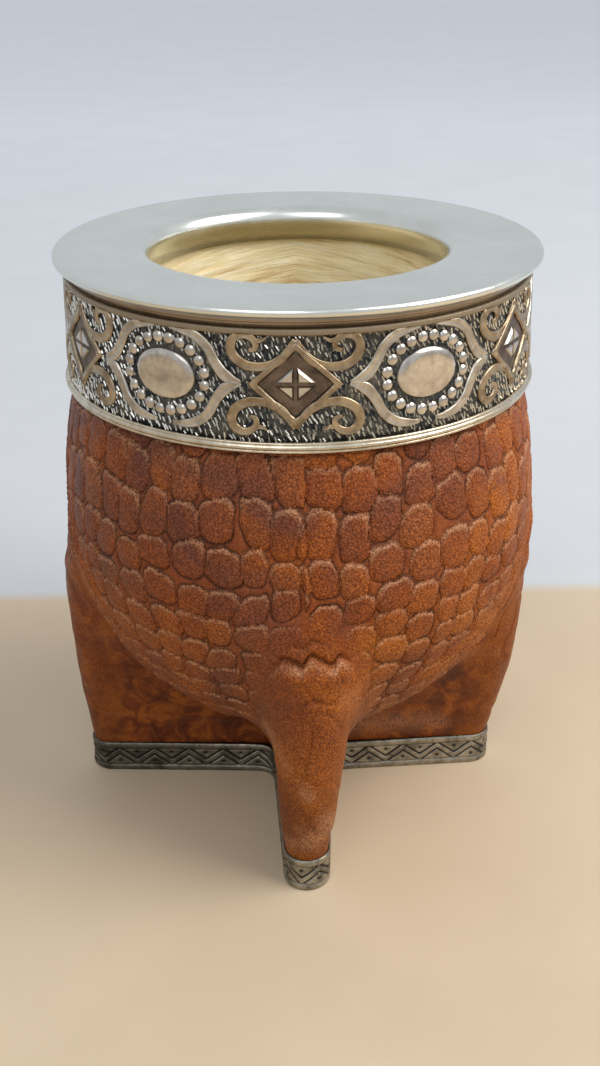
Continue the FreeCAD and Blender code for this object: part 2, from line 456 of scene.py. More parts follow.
TARNISH = (0.030, 0.028, 0.027)
METAL_LIP = lip_metal()
METAL_FRAME = bright_metal("embossed_frame", (0.34, 0.29, 0.23), (0.62, 0.57, 0.49),
                           0.26, 0.42, 1.6, TARNISH)
METAL_STRAP = bright_metal("bronzed_strap", (0.20, 0.140, 0.085), (0.50, 0.40, 0.27),
                           0.24, 0.42, 1.6, TARNISH)
METAL_BEAD = bright_metal("polished_bead", (0.42, 0.37, 0.32), (0.68, 0.63, 0.56),
                          0.16, 0.28, 1.2, TARNISH)
METAL_STROKE = bright_metal("chased_stroke", (0.40, 0.39, 0.35), (0.80, 0.78, 0.71), 0.26, 0.40, 2.0)
METAL_WIRE = bright_metal("rolled_wire", (0.46, 0.38, 0.27), (0.74, 0.67, 0.53), 0.20, 0.34, 1.4)
METAL_FIELD = bright_metal("browned_field", (0.085, 0.062, 0.048), (0.21, 0.155, 0.115),
                           0.38, 0.52, 1.8)
# Foot band metal: tarnish, dark tarnish in its hollows, and painted shade towards -X.
METAL_FOOT = bright_metal("tarnished_band", (0.12, 0.11, 0.09), (0.46, 0.425, 0.345),
                          0.28, 0.46, 1.8, (0.020, 0.018, 0.015), True)
GROUND = dark_ground()
LEATHER = leather()
GOURD = gourd_material()

# ---------------------------------------------------------------- shapes shared by body and fins

# Each fin's reach at the foot, its reach at the knee, and the angle it points to
FIN_REACH = {
    "right": (foot_high.x - AXIS_X, cover_high.x - AXIS_X, 90.0),
    "back": (foot_high.y, cover_high.y, 180.0),
    "left": (AXIS_X - foot_low.x, AXIS_X - cover_low.x, 270.0),
    "front": (-foot_low.y, -cover_low.y, 0.0),
}
# Over how far the belly and the fins run into each other
BLEND = 8.0
FIN_LEAN = {"front": 0.9}


def body_distance(points):
    """About the distance outside the leather belly."""
    x = points[..., 0] - AXIS_X
    radius = np.hypot(x, points[..., 1])
    height = points[..., 2] - BELLY_HEIGHT
    turn = math.acos(NECK_RADIUS / BELLY_RADIUS)
    tall = np.where(height < 0, BELLY_HEIGHT - BASE_HEIGHT, (COLLAR_BOTTOM - BELLY_HEIGHT) / math.sin(turn))
    a = radius / BELLY_RADIUS
    b = height / tall
    level = np.sqrt(a * a + b * b) + 1e-9
    slope = np.hypot(a / BELLY_RADIUS, b / tall) / level
    return (level - 1) / slope


def fin_size(side, height):
    """Reach and half width of a fin at a height."""
    foot, knee, _ = FIN_REACH[side]
    foot_end = foot - LEATHER_INSET
    foot_half = FOOT_HALF_WIDTH - LEATHER_INSET
    level = np.clip((height - FOOT_HEIGHT) / (KNEE_HEIGHT - FOOT_HEIGHT), 0, 1)
    swell = np.sin(math.pi / 2 * level)
    half = foot_half + (KNEE_HALF_WIDTH - foot_half) * swell
    reach = foot_end + (knee - foot_end) * swell
    fall = np.clip((height - KNEE_HEIGHT) / (FIN_TOP_HEIGHT - KNEE_HEIGHT), 0, 1.3)
    top_drop = knee - (BELLY_RADIUS - 1.6)
    return reach - top_drop * fall ** 1.8, half


def lean(side, height):
    """How far a fin's upper part stands to one side."""
    return FIN_LEAN.get(side, 0.0) * smooth_step(FOOT_HEIGHT, KNEE_HEIGHT, height)


def fin_local(points, side):
    """Coordinates along, across and up a fin."""
    turn = math.radians(FIN_REACH[side][2])
    x = points[..., 0] - AXIS_X
    y = points[..., 1]
    along = x * math.sin(turn) - y * math.cos(turn)
    across = x * math.cos(turn) + y * math.sin(turn) - lean(side, points[..., 2])
    return along, across, points[..., 2]


def fin_distance(points, side):
    """About the distance outside one fin."""
    along, across, height = fin_local(points, side)
    reach, half = fin_size(side, height)
    shoulder = reach - half
    share = np.clip(1 - along / shoulder, 0, 1)
    wide = half + FIN_ROOT_EXTRA * share
    beside = np.abs(across) - wide
    beyond = np.hypot(along - shoulder, across) - half
    away = np.where(along > shoulder, beyond, beside)
    away = np.where(along < 0, np.hypot(along, np.maximum(beside, 0)), away)
    return away + np.maximum(height - FIN_TOP_HEIGHT - 2, 0)


def soft_union(first, second, blend):
    """Distance outside two shapes together, rounded where they meet."""
    near = np.maximum(blend - np.abs(first - second), 0) / blend
    return np.minimum(first, second) - near * near * blend / 4


def fins_distance(points):
    return np.min([fin_distance(points, side) for side in FIN_REACH], axis=0)


def skin_distance(points):
    return soft_union(body_distance(points), fins_distance(points), BLEND)


def gradient(distance, points, step=0.05):
    """Slope of a distance function along X, Y and Z."""
    parts = []
    for axis in range(3):
        shift = np.zeros(3)
        shift[axis] = step
        parts.append((distance(points + shift) - distance(points - shift)) / (2 * step))
    return np.stack(parts, axis=-1)


def settle(points, active, rounds=5):
    """Moves the active points onto the joined skin."""
    for _ in range(rounds):
        chosen = points[active]
        slope = gradient(skin_distance, chosen)
        size = np.maximum((slope ** 2).sum(-1), 0.05)
        move = -slope * (skin_distance(chosen) / size)[..., None]
        reach = np.linalg.norm(move, axis=-1, keepdims=True)
        points[active] = chosen + move * np.minimum(1, 1.5 / np.maximum(reach, 1e-9))
    return points


def normals_of(points, faces_shape, wrap_columns=True):
    """Normals of a rows by columns grid of points, outward for counterclockwise rows."""
    rows, columns = faces_shape
    grid = points.reshape(rows, columns, 3)
    if wrap_columns:
        along = np.roll(grid, -1, axis=1) - np.roll(grid, 1, axis=1)
    else:
        along = np.gradient(grid, axis=1)
    up = np.gradient(grid, axis=0)
    normal = np.cross(along, up)
    normal /= np.maximum(np.linalg.norm(normal, axis=-1, keepdims=True), 1e-12)
    return normal.reshape(-1, 3)


# ---------------------------------------------------------------- folds in the leather

KNEE_CREASE = 54.8
KNEE_FOLD = 46.0


def window(value, low, high, soft):
    """One between low and high, fading to nothing over a soft edge."""
    return smooth_step(low - soft, low, value) * (1 - smooth_step(high, high + soft, value))


def smoothness(points):
    """How far the leather is pulled smooth: the fins' flat faces are, the knees and tips less."""
    most = np.zeros(points.shape[:-1])
    for side in FIN_REACH:
        along, _, height = fin_local(points, side)
        reach, half = fin_size(side, height)
        tip = smooth_step(-6.0, 1.0, along - (reach - half))
        near = 1 - smooth_step(-1.0, 7.0, fin_distance(points, side))
        most = np.maximum(most, near * (1 - (0.95 if side == "front" else 0.55) * tip))
    return most


# Height of the folds' middle line at angles from the front or the back
SWAG_ANGLES = (20, 38, 59, 73, 79, 90)
SWAG_HEIGHTS = (25, 31, 40, 55, 65, 78)
SWAG_PITCH = 3.1


def swags(points):
    """Long folds that fall from the side fins to the front and back: lift, cover, distance to a crease."""
    x = points[..., 0] - AXIS_X
    turn = np.degrees(np.arctan2(np.abs(x), np.abs(points[..., 1])))
    height = points[..., 2]
    side = np.sign(x) * 3 + np.sign(points[..., 1]) * 5
    wobble = 1.5 * drift(41, turn * 0.06, side) + 0.4 * drift(42, turn * 0.2, side)
    away = 0.60 * (height - np.interp(turn, SWAG_ANGLES, SWAG_HEIGHTS)) + wobble
    cover = window(away, -9.0, 7.5, 3.0) * window(turn, 34, 84, 9)
    phase = away / SWAG_PITCH
    fold = np.abs(np.sin(math.pi * phase))
    from_crease = np.abs(phase - np.round(phase)) * SWAG_PITCH
    uneven = 0.7 + 0.5 * drift(45, turn * 0.05 + np.round(phase) * 3.7, side)
    return cover * uneven * (1.05 * fold - 0.50), cover * np.clip(uneven, 0, 1), from_crease


def crease(height, line, soft):
    """One on a line, fading to nothing above and below it."""
    return np.exp(-((height - line) / soft) ** 2)


def knee_creases(points):
    """Wrinkles over each knee: how deep they press, their painted shade, and the crest below them, lightened
    by wear and painted highlight.
    """
    press = np.zeros(points.shape[:-1])
    dark = np.zeros(points.shape[:-1])
    wear_and_highlight = np.zeros(points.shape[:-1])
    for number, side in enumerate(FIN_REACH):
        along, across, height = fin_local(points, side)
        front = (along > 25) * (1.0 if side == "front" else 0.35)
        row = number * 5.0
        shake = drift(43, across * 0.55, row)
        ragged = 0.6 * drift(44, across * 0.80 + 0.4, row) + 0.5 * drift(45, across * 2.1, row)
        faint = 0.55 + 0.45 * drift(46, across * 0.45 + 2, row)
        reach = 1 - smooth_step(5.0, 8.5, np.abs(across))
        crack = KNEE_CREASE + 1.3 * shake + 0.30 * ragged - 0.03 * across ** 2
        upper = crease(height, crack, 0.62) * reach
        over = crease(height, KNEE_CREASE + 3.2 + 1.2 * shake - 0.35 * ragged, 0.5)
        over = over * (1 - smooth_step(1.5, 4.0, np.abs(across + 1.0)))
        lower = crease(height, KNEE_FOLD + 0.8 * shake + 0.3 * ragged, 0.45)
        lower = lower * (1 - smooth_step(2.5, 5.5, np.abs(across - 2.0)))
        swell = crease(height, KNEE_CREASE - 3.4, 2.0) * reach
        press = press + front * (1.1 * upper + 0.6 * over + 0.45 * lower - 0.95 * swell)
        # Painted shade in the wrinkles, and wear with painted highlight on the crest.
        dark = dark + front * (0.9 * upper * (0.5 + 0.5 * faint) + 0.6 * over + 0.6 * lower)
        wear_and_highlight = wear_and_highlight + front * reach * faint * crease(height, crack - 1.3, 0.6)
    return press, np.clip(dark, 0, 1), np.clip(wear_and_highlight, 0, 1)


# ---------------------------------------------------------------- leather belly

# Points round the belly, and the steps between its rows: fine where the scales show
BODY_COLUMNS = 540
FINE_STEP = 0.46
COARSE_STEP = 1.25
FINE_FROM = 33.0
# Scales round the belly, and the height of each row of them from the collar down
CELL_COLUMNS = 47
CELL_ROWS = (2.6, 8.6, 9.0, 6.9, 6.4, 6.2, 6.0, 5.8, 5.8, 5.8)
LEATHER_TOP = wide_low.z + 0.6


def belly_line(turn_count=240):
    """The belly's outline from near its lowest point to the collar, with its running length."""
    turn = np.linspace(0.10, math.pi / 2, turn_count)
    low = np.stack([BELLY_RADIUS * np.sin(turn),
                    BELLY_HEIGHT - (BELLY_HEIGHT - BASE_HEIGHT) * np.cos(turn)], axis=1)
    last = math.acos(NECK_RADIUS / BELLY_RADIUS)
    tall = (COLLAR_BOTTOM - BELLY_HEIGHT) / math.sin(last)
    turn = np.linspace(0, last, turn_count // 2)[1:]
    high = np.stack([BELLY_RADIUS * np.cos(turn), BELLY_HEIGHT + tall * np.sin(turn)], axis=1)
    line = np.vstack([low, high, [[NECK_RADIUS, LEATHER_TOP]]])
    length = np.concatenate([[0], np.cumsum(np.linalg.norm(np.diff(line, axis=0), axis=1))])
    return line, length


def belly_rows():
    """Radius, height and running length of each row of points: close together where scales show."""
    line, length = belly_line()
    change = np.interp(FINE_FROM, line[:, 1], length)
    coarse = np.arange(0, change, COARSE_STEP)
    fine = np.linspace(change, length[-1], int((length[-1] - change) / FINE_STEP))
    wanted = np.concatenate([coarse, fine])
    return np.interp(wanted, length, line[:, 0]), np.interp(wanted, length, line[:, 1]), wanted


def scales(angle, drop, radius):
    """Embossed scales in rows and columns. Gives the distance in from the nearest scale's border,
    the place up it from -1 to 1, its tone and its depth."""
    edges = np.concatenate([[0], np.cumsum(CELL_ROWS)])
    rows = len(CELL_ROWS)
    spare = 12
    squareness = 2.9
    dice = np.random.default_rng(SEED)
    shape = (CELL_COLUMNS, rows + spare)
    shift_x = dice.uniform(-0.10, 0.10, shape)
    shift_y = dice.uniform(-0.13, 0.13, shape)
    half_x = dice.uniform(0.485, 0.545, shape)
    half_y = dice.uniform(0.485, 0.560, shape)
    skew = dice.uniform(-0.16, 0.16, shape)
    tones = dice.uniform(0, 1, shape)
    depths = dice.uniform(0.45, 1.0, shape)
    stagger = dice.uniform(-0.17, 0.17, CELL_COLUMNS)
    last = CELL_ROWS[-1]
    in_rows = np.interp(drop, edges, np.arange(rows + 1))
    row = np.where(drop < edges[-1], in_rows, rows + (drop - edges[-1]) / last)
    wave = np.stack([angle * 0.075, drop * 0.11], axis=-1)
    fine = np.stack([angle * 0.40, drop * 0.42], axis=-1)
    column = angle / 360 * CELL_COLUMNS + 0.22 * value_noise(wave, 1) + 0.05 * value_noise(fine, 2)
    row = row + 0.16 * value_noise(wave, 3) + 0.04 * value_noise(fine, 4)
    pitch = 2 * math.pi * radius / CELL_COLUMNS
    tall = np.interp(row, np.arange(rows) + 0.5, CELL_ROWS)
    best = np.full(angle.shape, -9.0)
    second = best.copy()
    up = np.zeros(angle.shape)
    tone = np.zeros(angle.shape)
    depth = np.zeros(angle.shape)
    base = np.floor(column).astype(int)
    for step in (-1, 0, 1):
        lane = base + step
        wrapped = lane % CELL_COLUMNS
        rank = np.floor(row + stagger[wrapped]).astype(int)
        for climb in (-1, 0, 1):
            level = np.clip(rank + climb + 1, 0, rows + spare - 1)
            pick = (wrapped, level)
            y = (row + stagger[wrapped] - (rank + climb + 0.5 + shift_y[pick]))
            x = (column - (lane + 0.5 + shift_x[pick])) + skew[pick] * y
            span_x = half_x[pick] * pitch
            span_y = half_y[pick] * tall
            part_x = (np.abs(x * pitch) / span_x) ** squareness
            part_y = (np.abs(y * tall) / span_y) ** squareness
            size = (part_x + part_y) ** (1 / squareness)
            inward = (1 - size) * np.minimum(span_x, span_y)
            closer = inward > best
            second = np.where(closer, best, np.maximum(second, inward))
            up = np.where(closer, -y * tall / span_y, up)
            tone = np.where(closer, tones[pick], tone)
            depth = np.where(closer, depths[pick], depth)
            best = np.where(closer, inward, best)
    best = np.minimum(best, 0.62 * (best - second))
    scallop = drift(6, angle * 0.80, drop * 0.9)
    best = best + 0.22 * scallop * (0.25 + 0.75 * np.clip(up, 0, 1))
    return best, up, tone, depth


def scale_relief(border, up):
    """Height of a plump scale with a sharp line round it, in a slightly plump network."""
    crown = 0.26 * smooth_step(0.0, 0.8, border) + 0.12 * smooth_step(0.5, 2.2, border)
    crest = 0.26 * np.exp(-((border - 0.45) / 0.35) ** 2) * np.clip(up, 0, 1)
    line = -0.26 * np.exp(-(border / 0.22) ** 2)
    between = 0.24 * smooth_step(0.02, 0.40, -border)
    return crown + crest + line + between


def add_leather_values(piece, border, depth, tone, crest, smooth, spare):
    """The values that the leather's material reads; spare points get plain ones."""
    for name, values, plain_value in (("border", border, 2.0), ("depth", depth, 0.0), ("tone", tone, 0.5),
                                      ("crest", crest, 0.0), ("smooth", smooth, 0.5)):
        add_value(piece, name, np.concatenate([values, np.full(spare, plain_value)]))


def build_belly():
    """Leather over the belly: scales, folds from the fins, and the wrinkles at the knees."""
    radius, height, length = belly_rows()
    rows = len(radius)
    turn = np.linspace(0, 360, BODY_COLUMNS, endpoint=False)
    turn = turn - 14 * np.sin(np.radians(turn))
    angle, flat_radius = np.broadcast_arrays(turn[None, :], radius[:, None])
    flat_height = np.broadcast_to(height[:, None], angle.shape)
    points = around(flat_radius, flat_height, angle).reshape(-1, 3)
    fin_gap = fins_distance(points)
    points = settle(points, np.abs(fin_gap) < BLEND)
    normal = normals_of(points, (rows, BODY_COLUMNS))
    drop = np.repeat(length[-1] - length, BODY_COLUMNS)
    flat_angle = angle.reshape(-1)
    flat_height = flat_height.reshape(-1)
    border, up, tone, depth = scales(flat_angle, drop, flat_radius.reshape(-1))
    fold, covered, from_crease = swags(points)
    press, dark, wear_and_highlight = knee_creases(points)
    strength = smooth_step(24, 38, flat_height) * smooth_step(0.5, 6.0, fin_gap) * (1 - 0.85 * covered)
    uneven = 0.30 * drift(5, flat_angle * 0.11, drop * 0.09)
    tuck = smooth_step(3.0, 0.0, drop)
    calm = smooth_step(-1.0, 5.0, fin_gap)
    lift = scale_relief(border, up) * (0.12 + 0.88 * strength) + uneven * calm + fold * calm - press
    lift = lift * (1 - tuck) - 0.30 * tuck - 0.35
    points = points + normal * lift[:, None]
    owned = smooth_step(0.0, 1.2, body_distance(points) - fins_distance(points))
    points = points - normal * (0.8 * owned)[:, None]
    # Wear and painted highlight on the top edge of each scale and on the knee tops.
    crest = np.maximum(np.clip(up, 0, 1) * np.exp(-((border - 0.35) / 0.30) ** 2) * strength, wear_and_highlight)
    # Painted shade: how dark the grooves between the scales, the folds' creases and the knee wrinkles are
    # drawn.
    line_depth = depth * strength * (0.55 + 0.45 * np.abs(up))
    in_swag = (covered > 0.45) & (fin_gap > 1.5)
    border = np.where(in_swag, from_crease, border)
    line_depth = np.where(in_swag, 0.55 * covered, line_depth)
    near_crease = dark > 0.25
    border = np.where(near_crease, 0.30 * (1 - dark), border)
    line_depth = np.maximum(line_depth, dark)
    inner_line, inner_length = belly_line()
    inner_at = np.linspace(0, inner_length[-1], 12)
    inner_radius = np.interp(inner_at, inner_length, inner_line[:, 0]) - LEATHER_THICKNESS
    inner_height = np.interp(inner_at, inner_length, inner_line[:, 1]) + 0.3
    inner = around(inner_radius[::-1, None], inner_height[::-1, None], turn[None, :]).reshape(-1, 3)
    everything = np.vstack([points, inner])
    faces = grid_faces(rows + len(inner_at), BODY_COLUMNS, wrap_rows=True)
    belly = make_object("leather_belly", everything, faces)
    tone = 0.5 + (tone - 0.5) * strength
    add_leather_values(belly, border, line_depth, tone, crest, smoothness(points), len(inner))
    return finish_piece(belly, ["leather_cover"], LEATHER)


# ---------------------------------------------------------------- leather fins

FIN_ROWS = 110
FIN_COLUMNS = 190
# How near the axis a fin's root may start, and how deep it sinks into the belly's leather
FIN_START = 6.0
ROOT_DEPTH = 1.2
FIN_BOTTOM = FOOT_HEIGHT - 1.2


def fin_outline(side, height, count):
    """Open outline of one fin at one height, from root round the tip to root."""
    reach, half = fin_size(side, np.array(height))
    shoulder = float(reach - half)
    root = float(half + FIN_ROOT_EXTRA)
    half = float(half)
    rise = (BELLY_HEIGHT - height) / (BELLY_HEIGHT - BASE_HEIGHT - ROOT_DEPTH)
    inside = (BELLY_RADIUS - ROOT_DEPTH) * math.sqrt(max(1 - rise * rise, 0))
    start = math.sqrt(max(inside ** 2 - root ** 2, FIN_START ** 2))
    start = min(start, shoulder - 1)
    straight = shoulder - start
    bend = math.pi * half
    total = 2 * straight + bend
    result = []
    for s in np.linspace(0, total, count):
        if straight <= s <= straight + bend:
            turn = (s - straight) / half - math.pi / 2
            result.append((shoulder + half * math.cos(turn), half * math.sin(turn)))
            continue
        along = start + min(s, total - s)
        across = root + (half - root) * along / shoulder
        result.append((along, -across if s < straight else across))
    return np.array(result)


def hold_in_leather(points):
    """Brings points that lie deep in the cup's wall back to just under the leather."""
    for _ in range(4):
        depth = -body_distance(points) - (ROOT_DEPTH + 1.0)
        deep = (depth > 0) & (points[:, 2] > BASE_HEIGHT)
        slope = gradient(body_distance, points[deep])
        slope = slope / np.maximum(np.linalg.norm(slope, axis=-1, keepdims=True), 1e-6)
        points[deep] = points[deep] + slope * depth[deep][:, None]
    return points


def build_fin(side, seed):
    """One leather fin, from its root under the belly's skin round its tip."""
    heights = np.linspace(FIN_BOTTOM, FIN_TOP_HEIGHT + 1.5, FIN_ROWS)
    outlines = np.array([fin_outline(side, h, FIN_COLUMNS) for h in heights])
    turn = math.radians(FIN_REACH[side][2])
    along, across = outlines[..., 0], outlines[..., 1] + lean(side, heights)[:, None]
    x = AXIS_X + along * math.sin(turn) + across * math.cos(turn)
    y = -along * math.cos(turn) + across * math.sin(turn)
    z = np.broadcast_to(heights[:, None], x.shape)
    points = np.stack([x, y, z], axis=-1).reshape(-1, 3)
    height = points[:, 2].copy()
    gap = body_distance(points)
    points = settle(points, (np.abs(gap) < BLEND) & (height > FOOT_HEIGHT + 2))
    normal = normals_of(points, (FIN_ROWS, FIN_COLUMNS), wrap_columns=False)
    spot = np.stack([along.reshape(-1) * 0.10 + seed * 9, across.reshape(-1) * 0.10, height * 0.085], axis=-1)
    ripple = value_noise(spot, seed) + 0.5 * value_noise(spot * 2.3, seed + 1)
    ripple = ripple + 0.2 * value_noise(spot * 5, seed + 2)
    fold = smooth_step(0.87, 0.99, 1 - np.abs(value_noise(spot * 1.7 + 2.5, seed + 3)))
    press, dark, wear_and_highlight = knee_creases(points)
    above = smooth_step(FOOT_HEIGHT, FOOT_HEIGHT + 6, height)
    calm = smooth_step(0.0, 4.0, np.abs(body_distance(points))) * above
    lift = (0.30 * ripple - 0.26 * fold) * calm - press - 0.12
    points = points + normal * lift[:, None]
    owned = smooth_step(0.0, 1.2, fin_distance(points, side) - body_distance(points))
    points = points - normal * (0.8 * owned)[:, None]
    points = hold_in_leather(points)
    rows, columns = FIN_ROWS, FIN_COLUMNS
    faces = grid_faces(rows, columns, wrap_columns=False)
    grid = points.reshape(rows, columns, 3)
    everything = np.vstack([points, grid[:1].mean(axis=1), grid[-1:].mean(axis=1)])
    low_index = rows * columns
    top_index = low_index + 1
    last_row = (rows - 1) * columns
    for j in range(columns):
        k = (j + 1) % columns
        faces.append((k, j, low_index))
        faces.append((last_row + j, last_row + k, top_index))
    for i in range(rows - 1):
        first, last = i * columns, i * columns + columns - 1
        faces.append((first, first + columns, last + columns, last))
    fin = make_object("leather_fin_" + side, everything, faces)
    patch = 0.5 + 0.45 * value_noise(spot * 1.6 + 3, seed + 5)
    # Painted shade in the knee wrinkles and along the folds; painted highlight on the ripples' tops.
    border = np.where(dark > 0.25, 0.30 * (1 - dark), 2.0 - 1.7 * (fold * calm > 0.6))
    depth = np.maximum(dark, 0.5 * fold * calm)
    ripple_highlight = 0.55 * smooth_step(0.35, 0.95, ripple) * calm
    add_leather_values(fin, border, depth, patch, np.maximum(wear_and_highlight, ripple_highlight), smoothness(points), 2)
    return finish_piece(fin, ["leather_cover"], LEATHER)


# ---------------------------------------------------------------- lip, wires and gourd

THROAT_RADIUS = 28.2
THROAT_ROUND = 2.5
GOURD_MOUTH = 29.4
RIM_ROUND = 0.8
LIP_THICKNESS = 1.6
SLEEVE_TOP = TOP - 1.8
RING_RADIUS = 44.0
NECK_OUTSIDE = 43.65
NECK_INSIDE = 41.0


def quarter_turn(count):
    """Angles of a quarter turn in even steps, without its start."""
    return [math.pi / 2 * step / count for step in range(1, count + 1)]


def half_turn(count):
    """Angles of a half turn in even steps, without its ends."""
    return [math.pi * step / count for step in range(1, count)]


def build_lip():
    """Wide lip with its throat inside and its neck ring below, as one ring of revolution."""
    under = TOP - LIP_THICKNESS
    shoulder = TOP - THROAT_ROUND
    loop = [(THROAT_RADIUS, lip_low.z), (THROAT_RADIUS, shoulder)]
    for turn in quarter_turn(8):
        loop.append((THROAT_RADIUS + THROAT_ROUND * (1 - math.cos(turn)),
                     shoulder + THROAT_ROUND * math.sin(turn)))
    loop += [(33.0, TOP - 0.02), (38.0, TOP - 0.05), (43.0, TOP - 0.02), (RIM_RADIUS - 0.9, TOP)]
    for turn in half_turn(12):
        loop.append((RIM_RADIUS - RIM_ROUND + RIM_ROUND * math.sin(turn),
                     TOP - RIM_ROUND + RIM_ROUND * math.cos(turn)))
    loop += [(RIM_RADIUS - 1.0, under), (RING_RADIUS + 0.6, under), (RING_RADIUS + 0.42, under - 0.12)]
    for turn in half_turn(8):
        loop.append((RING_RADIUS + 0.4 * math.sin(turn), under - 0.65 + 0.5 * math.cos(turn)))
    loop += [(NECK_OUTSIDE + 0.05, under - 1.2), (NECK_OUTSIDE, COLLAR_TOP + 0.9), (NECK_OUTSIDE, COLLAR_TOP)]
    loop += [(NECK_INSIDE, COLLAR_TOP), (NECK_INSIDE, SLEEVE_TOP), (GOURD_MOUTH, SLEEVE_TOP)]
    loop += [(GOURD_MOUTH, lip_low.z), (GOURD_MOUTH - 0.2, lip_low.z)]
    piece = lathe("lip", loop[::-1], 256)
    return finish_piece(piece, ["lip_flange"], METAL_LIP)


MOUTH_END = 101.5
CAVITY_RADIUS = 39.4
CAVITY_BOTTOM = 25.4
CAVITY_MIDDLE = 65.0
GOURD_OUTSIDE = 40.8
GOURD_SEGMENTS = 240
AXIS_GAP = 0.4
SCRAPE_DEPTH = 0.16


def build_gourd():
    """Shell of the gourd: a straight mouth, a round hollow below it, and scrape marks on the wall."""
    begin = math.asin(GOURD_MOUTH / CAVITY_RADIUS)
    upper = (MOUTH_END - CAVITY_MIDDLE) / math.cos(begin)
    lower = CAVITY_MIDDLE - CAVITY_BOTTOM
    hollow = [(GOURD_MOUTH, SLEEVE_TOP - (SLEEVE_TOP - MOUTH_END) * step / 26) for step in range(26)]
    for turn in np.linspace(begin, math.pi - 0.012, 70):
        reach = upper if turn < math.pi / 2 else lower
        hollow.append((CAVITY_RADIUS * math.sin(turn), CAVITY_MIDDLE + reach * math.cos(turn)))
    outer_line, outer_length = belly_line()
    wanted = np.linspace(0, outer_length[-1], 40)
    shell_radius = np.interp(wanted, outer_length, outer_line[:, 0]) - LEATHER_THICKNESS - 0.3
    shell_radius = np.maximum(shell_radius, AXIS_GAP)
    shell_height = np.interp(wanted, outer_length, outer_line[:, 1]) + 0.6
    outside = [(AXIS_GAP, shell_height[0])] + list(zip(shell_radius, shell_height))
    outside += [(GOURD_OUTSIDE, COLLAR_BOTTOM + 2), (GOURD_OUTSIDE, SLEEVE_TOP)]
    profile = np.array(hollow + outside)
    turn = np.arange(GOURD_SEGMENTS) * 360.0 / GOURD_SEGMENTS
    radius = np.broadcast_to(profile[:, None, 0], (len(profile), GOURD_SEGMENTS)).copy()
    height = np.broadcast_to(profile[:, None, 1], radius.shape)
    slant = height + SCRAPE_SLANT * np.abs(radius * np.sin(np.radians(turn)))
    mark = drift(61, turn * 0.05, slant * 0.9) + 0.6 * drift(62, turn * 0.12, slant * 2.2)
    scraped = np.arange(len(profile))[:, None] < len(hollow)
    radius = radius + np.where(scraped & (height < TOP - 7.5), SCRAPE_DEPTH * mark, 0)
    points = around(radius, height, turn[None, :]).reshape(-1, 3)
    piece = make_object("gourd_shell", points, grid_faces(len(profile), GOURD_SEGMENTS, wrap_rows=True))
    return finish_piece(piece, ["gourd_cup"], GOURD)


def build_wires():
    """The wide wire, rolled with a bead and a step, and the thin wire below it."""
    low, high = wide_low.z, wide_high.z
    seat = WIDE_RADIUS - 1.3
    bead = ((0.45, 0), (0.08, 0.18), (0, 0.42), (0.12, 0.72), (0.42, 0.90), (0.30, 1.02), (0.28, 1.18))
    loop = [(seat, low)] + [(WIDE_RADIUS - inward, low + up) for inward, up in bead]
    loop += [(WIDE_RADIUS - 0.5, high), (seat, high)]
    finish_piece(lathe("collar_wide_wire", loop, 240), ["wide_wire"], METAL_WIRE)
    low, high = thin_low.z, thin_high.z
    seat = THIN_RADIUS - 1.0
    loop = [(seat, low), (THIN_RADIUS - 0.16, low), (THIN_RADIUS, (low + high) / 2)]
    loop += [(THIN_RADIUS - 0.16, high), (seat, high)]
    finish_piece(lathe("collar_thin_wire", loop, 240), ["thin_wire"], METAL_WIRE)


# ---------------------------------------------------------------- collar ornament

REPEATS = 6
ORNAMENT_TURN = -1.9
# How far each raised shape reaches into the collar, so that no gap shows under it
SUNK = 0.35
FIELD_LOW = wide_high.z
FIELD_HIGH = COLLAR_TOP - 1.0
FIELD_MIDDLE = FIELD_LOW + 9.95
BAND_RADIUS = 44.0
BAND_FLARE = 0.70


def collar_radius(height):
    """Radius of the collar's ground, which flares a little downwards."""
    share = (FIELD_HIGH - height) / (FIELD_HIGH - FIELD_LOW)
    return BAND_RADIUS + BAND_FLARE * np.clip(share, -0.1, 1.1) - 0.30


def wrap(points, centre):
    """Flat ornament points (along, up, lift), in millimetres, laid round the collar."""
    points = np.asarray(points, dtype=float)
    height = np.clip(FIELD_MIDDLE + points[:, 1], FIELD_LOW - 0.2, FIELD_HIGH + 0.1)
    angle = centre + np.degrees(points[:, 0] / BAND_RADIUS)
    return around(collar_radius(height) + points[:, 2], height, angle)


class Pile:
    """Many closed small shapes gathered into one mesh."""

    def __init__(self):
        self.points = []
        self.low = []
        self.faces = []
        self.count = 0

    def put(self, points, faces):
        points = np.asarray(points, dtype=float)
        x, y, z = points[:, 0] - AXIS_X, points[:, 1], points[:, 2]
        self.low.append(1 - smooth_step(0.02, 0.34, np.hypot(x, y) - collar_radius(z)))
        self.points.append(points)
        self.faces += [tuple(index + self.count for index in face) for face in faces]
        self.count += len(points)

    def make(self, name, material, smooth=True):
        piece = make_object(name, np.vstack(self.points), self.faces, smooth)
        add_value(piece, "hollow", np.concatenate(self.low))
        return finish_piece(piece, ["engraved_collar"], material)


# Across and up a strap: hollow in the middle, with raised edges
STRAP_SECTION = ((-1.12, -SUNK), (-1.08, 0.10), (-0.94, 0.74), (-0.74, 1.0), (-0.50, 0.84), (0.0, 0.78),
                 (0.50, 0.84), (0.74, 1.0), (0.94, 0.74), (1.08, 0.10), (1.12, -SUNK))


